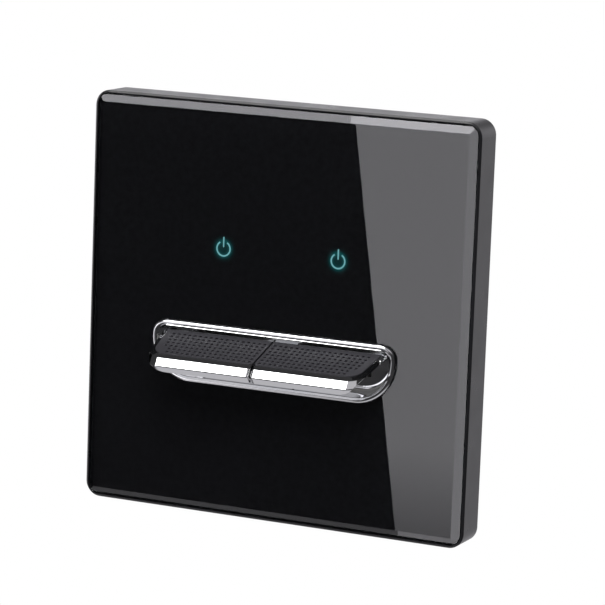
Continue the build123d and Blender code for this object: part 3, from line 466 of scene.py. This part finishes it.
def make_print(ink, light):
    """Makes the black ink on the back of the glass, which it returns, and the lit strokes in it."""
    low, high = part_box("glass_panel")
    back = high.y - INK_GAP
    front = back - INK_THICKNESS
    bezel_low, bezel_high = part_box("key_bezel")
    outer = rounded_outline(
        low.x + INK_MARGIN, high.x - INK_MARGIN, low.z + INK_MARGIN, high.z - INK_MARGIN,
        GLASS_CORNER - INK_MARGIN, GLASS_CORNER - INK_MARGIN,
    )
    inner = rounded_outline(
        bezel_low.x + INK_INSET, bezel_high.x - INK_INSET,
        bezel_low.z + INK_INSET, bezel_high.z - INK_INSET,
        BEZEL_LOW_CORNER - INK_INSET, BEZEL_TOP_CORNER - INK_INSET,
    )
    ink_sheet = new_piece(
        "glass_ink", lambda bm: sheet_ring(bm, outer, inner, front, back), ink, FIXED
    )
    stroke_back = front - INK_GAP
    stroke_front = stroke_back - INK_THICKNESS
    for side, sign in (("left", -1), ("right", 1)):
        x = sign * SIGN_X
        new_piece(
            f"{side}_sign_ring",
            lambda bm, x=x: power_ring(bm, x, SIGN_Z, stroke_front, stroke_back),
            light, FIXED,
        )
        outline = bar_outline(x, SIGN_Z + SIGN_BAR_LOW, SIGN_Z + SIGN_BAR_HIGH)
        new_piece(
            f"{side}_sign_bar",
            lambda bm, o=outline: prism(bm, o, stroke_front, stroke_back),
            light, FIXED,
        )
    return ink_sheet


def make_spring(side):
    """Coil that stands for a plunger's spring and rides with its key."""
    name = f"{side}_plunger_spring"
    spring = bpy.data.objects.new(f"{side}_spring_coil", nodes[name].data.copy())
    spring.matrix_world = nodes[name].matrix_world.copy()
    bpy.context.scene.collection.objects.link(spring)
    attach(spring, f"{side}_key")
    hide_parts(name)
    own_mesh(spring)


# Studio
def soft_span(tree, angle, ends, level):
    """Level between two angles in degrees and nothing outside them, with soft ends."""
    inner = (ends[0] + PATCH_EDGE, ends[1] - PATCH_EDGE)
    rise = remap(tree, angle, 0.0, 1.0, math.radians(ends[0]), math.radians(inner[0]))
    fall = remap(tree, angle, level, 0.0, math.radians(inner[1]), math.radians(ends[1]))
    return combine(tree, "MULTIPLY", rise, fall)


def make_world():
    """White to the camera. Reflections see a tent with dark openings, a wall and a grey ground."""
    world = bpy.data.worlds.new("studio")
    bpy.context.scene.world = world
    world.use_nodes = True
    tree = world.node_tree
    tree.nodes.clear()
    out = tree.nodes.new("ShaderNodeOutputWorld")
    white = tree.nodes.new("ShaderNodeBackground")
    white.inputs["Color"].default_value = (1, 1, 1, 1)
    room = tree.nodes.new("ShaderNodeBackground")
    room.inputs["Color"].default_value = STUDIO_TINT
    place = tree.nodes.new("ShaderNodeTexCoord")
    split = tree.nodes.new("ShaderNodeSeparateXYZ")
    tree.links.new(place.outputs["Generated"], split.inputs["Vector"])
    ahead = combine(tree, "MULTIPLY", split.outputs["Y"], -1.0)
    azimuth = combine(tree, "ARCTAN2", split.outputs["X"], ahead)
    elevation = combine(tree, "ARCSINE", split.outputs["Z"], 0.0)

    behind = remap(tree, split.outputs["Y"], *WALL_BEHIND)
    below_top = remap(tree, split.outputs["Z"], *WALL_TOP)
    above_foot = remap(tree, split.outputs["Z"], *WALL_FOOT)
    wall = combine(tree, "MULTIPLY", combine(tree, "MULTIPLY", behind, below_top), above_foot)
    light = combine(tree, "MULTIPLY", wall, WALL_RADIANCE)
    light = combine(tree, "ADD", light, remap(tree, split.outputs["Z"], *GROUND_STEP))
    for sides, heights, level in TENT_PATCHES:
        across = soft_span(tree, azimuth, sides, level)
        patch = combine(tree, "MULTIPLY", across, soft_span(tree, elevation, heights, 1.0))
        light = combine(tree, "MAXIMUM", light, patch)
    tree.links.new(combine(tree, "ADD", light, ROOM_RADIANCE), room.inputs["Strength"])
    path = tree.nodes.new("ShaderNodeLightPath")
    mix = tree.nodes.new("ShaderNodeMixShader")
    tree.links.new(path.outputs["Is Camera Ray"], mix.inputs["Fac"])
    tree.links.new(room.outputs["Background"], mix.inputs[1])
    tree.links.new(white.outputs["Background"], mix.inputs[2])
    tree.links.new(mix.outputs["Shader"], out.inputs["Surface"])


def make_floor():
    """Plain pale floor for the camera only, clear from below. Light gets past it."""
    bm = bmesh.new()
    bmesh.ops.create_grid(bm, x_segments=1, y_segments=1, size=FLOOR_SIZE / 2)
    mesh = bpy.data.meshes.new("floor")
    bm.to_mesh(mesh)
    bm.free()
    floor = bpy.data.objects.new("floor", mesh)
    floor.location = (0, 0, FLOOR_HEIGHT)
    bpy.context.scene.collection.objects.link(floor)
    mat = bpy.data.materials.new("floor")
    mat.use_nodes = True
    tree = mat.node_tree
    tree.nodes.clear()
    out = tree.nodes.new("ShaderNodeOutputMaterial")
    glow = tree.nodes.new("ShaderNodeEmission")
    clear = tree.nodes.new("ShaderNodeBsdfTransparent")
    side = tree.nodes.new("ShaderNodeNewGeometry")
    mix = tree.nodes.new("ShaderNodeMixShader")
    tree.links.new(side.outputs["Backfacing"], mix.inputs["Fac"])
    tree.links.new(glow.outputs["Emission"], mix.inputs[1])
    tree.links.new(clear.outputs["BSDF"], mix.inputs[2])
    tree.links.new(mix.outputs["Shader"], out.inputs["Surface"])
    mesh.materials.append(mat)
    floor.visible_glossy = False
    floor.visible_diffuse = False
    floor.visible_transmission = False
    floor.visible_shadow = False


def soft_box(name, centre, size, radiance):
    """Square soft light of a given radiance, aimed at the origin."""
    data = bpy.data.lights.new(name, "AREA")
    data.shape = "RECTANGLE"
    data.size = size
    data.size_y = size
    data.energy = radiance * math.pi * size * size
    light = bpy.data.objects.new(name, data)
    aim = (-Vector(centre)).to_track_quat("-Z", "Y").to_matrix().to_4x4()
    light.matrix_world = Matrix.Translation(centre) @ aim
    bpy.context.scene.collection.objects.link(light)
    return light


def shine_on(light, pieces):
    """Lets a lamp or card shine on these pieces alone."""
    receivers = bpy.data.collections.new(light.name)
    for piece in pieces:
        receivers.objects.link(piece)
    light.light_linking.receiver_collection = receivers


def reflection_card(name, corners, low, high, start=-1.0, end=1.0, seen_by=None):
    """Card that only reflections see, whose radiance goes from low to high as Z goes on."""
    bm = bmesh.new()
    bm.faces.new([bm.verts.new(c) for c in corners])
    mesh = bpy.data.meshes.new(name)
    bm.to_mesh(mesh)
    bm.free()
    card = bpy.data.objects.new(name, mesh)
    bpy.context.scene.collection.objects.link(card)
    mat = bpy.data.materials.new(name)
    mat.use_nodes = True
    tree = mat.node_tree
    tree.nodes.clear()
    out = tree.nodes.new("ShaderNodeOutputMaterial")
    glow = tree.nodes.new("ShaderNodeEmission")
    glow.inputs["Color"].default_value = STUDIO_TINT
    split = tree.nodes.new("ShaderNodeSeparateXYZ")
    tree.links.new(coordinates(tree), split.inputs["Vector"])
    tree.links.new(
        remap(tree, split.outputs["Z"], low, high, start, end), glow.inputs["Strength"]
    )
    tree.links.new(glow.outputs["Emission"], out.inputs["Surface"])
    mesh.materials.append(mat)
    card.visible_camera = False
    card.visible_diffuse = False
    card.visible_shadow = False
    if seen_by:
        shine_on(card, [seen_by])


def mirrored_spot(point, normal, distance):
    """Spot that the camera sees mirrored at point, distance in front of the mirroring plane."""
    ray = (point - camera.matrix_world.translation).normalized()
    out = ray - 2 * ray.dot(normal) * normal
    return point + out * (distance / max(out.dot(normal), GRAZING))


def bevel_card(name, ends, normal, radiance, seen_by):
    """Card that a bevel of the glass mirrors between two of its points, in millimetres."""
    along = (Vector(ends[1]) - Vector(ends[0])).normalized()
    normal = Vector(normal).normalized()
    spots = [mirrored_spot(Vector(end) * MM, normal, CARD_DISTANCE) for end in ends]
    ray = (spots[0] - Vector(ends[0]) * MM).normalized()
    across = ray.cross(along).normalized() * CARD_SPREAD
    corners = [spots[0] - across, spots[1] - across, spots[1] + across, spots[0] + across]
    reflection_card(name, corners, radiance, radiance, seen_by=seen_by)


def band_spot(x, z):
    """Spot on the band's card that the glass shows at (x, z), in millimetres."""
    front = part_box("glass_panel")[0].y
    return mirrored_spot(Vector((x * MM, front, z * MM)), Vector((0, -1, 0)), BAND_DISTANCE)


materials = {name: opaque_material(name, *finish) for name, finish in OPAQUE.items()}
materials |= {name: clear_material(name, *finish) for name, finish in CLEAR.items()}
slots = {s["node"]: s["material_slot"] for s in frame["record"]["subparts"]}
for name, node in nodes.items():
    for slot in node.material_slots:
        slot.material = materials[slots[name]]

for side in ("left", "right"):
    make_spring(side)

camera = make_camera()
glass = nodes["glass_panel"]
ink_sheet = make_print(ink_material(), sign_material())
make_world()
make_floor()
key_light = soft_box("key_light", KEY_CENTRE, KEY_SIZE, KEY_RADIANCE)
shine_on(key_light, [ink_sheet] + [node for node in nodes.values() if node != glass])
fill_light = soft_box("fill_light", FILL_CENTRE, FILL_SIZE, FILL_RADIANCE)
fill_light.visible_glossy = False

band_corners = [band_spot(x, z) for x, z in BAND_CORNERS]
band_heights = [band_spot(x, z).z for x, z in BAND_FADE]
reflection_card("band_card", band_corners, *BAND_RADIANCE, *band_heights, glass)
for name, ends, normal, radiance, glass_only in BEVEL_CARDS:
    bevel_card(name, ends, normal, radiance, glass if glass_only else None)
reach = SIDE_CARD_REACH
for name, x in SIDE_CARDS:
    corners = [(x, -reach, -reach), (x, reach, -reach), (x, reach, reach), (x, -reach, reach)]
    reflection_card(name, corners, *SIDE_CARD_RADIANCE, -reach, reach, nodes["panel_frame"])

bpy.context.scene.view_settings.view_transform = "Standard"
